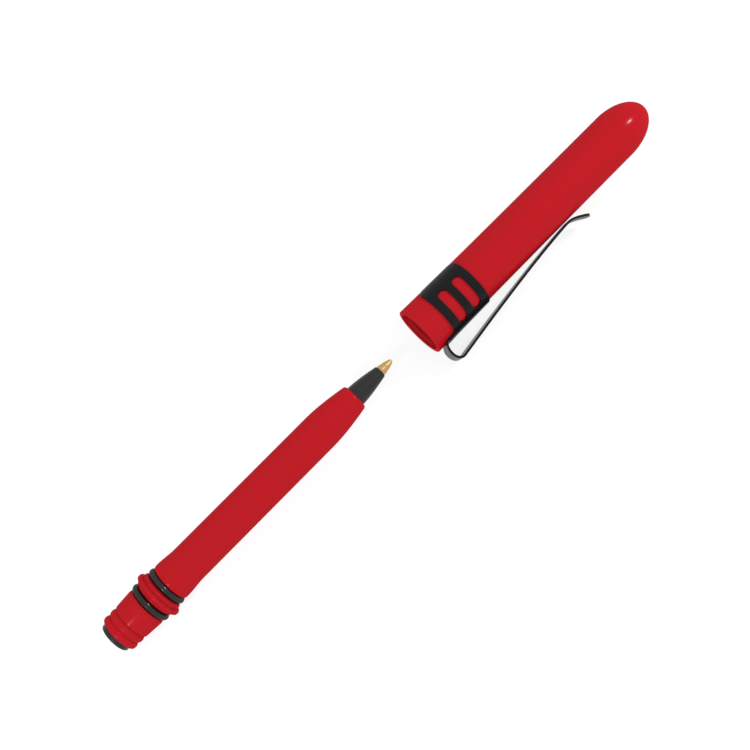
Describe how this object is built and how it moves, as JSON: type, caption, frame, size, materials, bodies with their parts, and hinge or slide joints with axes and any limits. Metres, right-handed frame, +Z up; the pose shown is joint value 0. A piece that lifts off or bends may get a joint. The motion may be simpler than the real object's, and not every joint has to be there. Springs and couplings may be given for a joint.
{
  "type": "pocket pen",
  "caption": "Capped pocket ballpoint pen with sealing rings, drawn open: cap off in line with the nib, spring clip on a slotted collar.",
  "frame": {"origin": "on the ground, under the middle of the open pen's box", "axes": "+X along the pen from the tail to the cap's domed end, +Z up; the clip points to -Y, rolled 18 degrees down"},
  "size_m": [0.1806, 0.019, 0.014],
  "materials": {
    "red_plastic": "satin moulded plastic",
    "black_rubber": "smooth moulded rubber",
    "black_plastic": "matte moulded plastic",
    "black_steel": "blackened spring steel",
    "brass": "turned brass",
    "carbide": "polished",
    "clear_plastic": "extruded plastic tube",
    "ink": "wet ink",
    "grease": "follower grease"
  },
  "bodies": {
    "pen_body": {"barrel": "red_plastic", "front_o_ring": "black_rubber", "rear_o_ring": "black_rubber", "tail_plug": "black_plastic", "tip_holder": "black_plastic", "writing_tip": "brass", "ink_tube": "clear_plastic", "ink_column": "ink", "ink_follower": "grease"},
    "cap": {"cap_shell": "red_plastic", "clip_collar": "black_steel"},
    "clip_spring": {"clip_arm": "black_steel"},
    "ball": {"writing_ball": "carbide"}
  },
  "joints": [
    {"name": "cap_slide", "type": "slide", "parent": "pen_body", "child": "cap", "axis": [-1, 0, 0], "range_m": [0, 0.0858]},
    {"name": "clip_flex", "type": "hinge", "parent": "cap", "child": "clip_spring", "pos_m": [0.01157, -0.00623, 0.00409], "axis": [0, 0.3162, -0.9487], "range_deg": [0, 6], "stiffness_Nm_per_rad": 0.5},
    {"name": "ball_roll", "type": "hinge", "parent": "pen_body", "child": "ball", "pos_m": [0.00031, 0.00253, 0.00702], "axis": [0, 1, 0], "continuous": true}
  ]
}
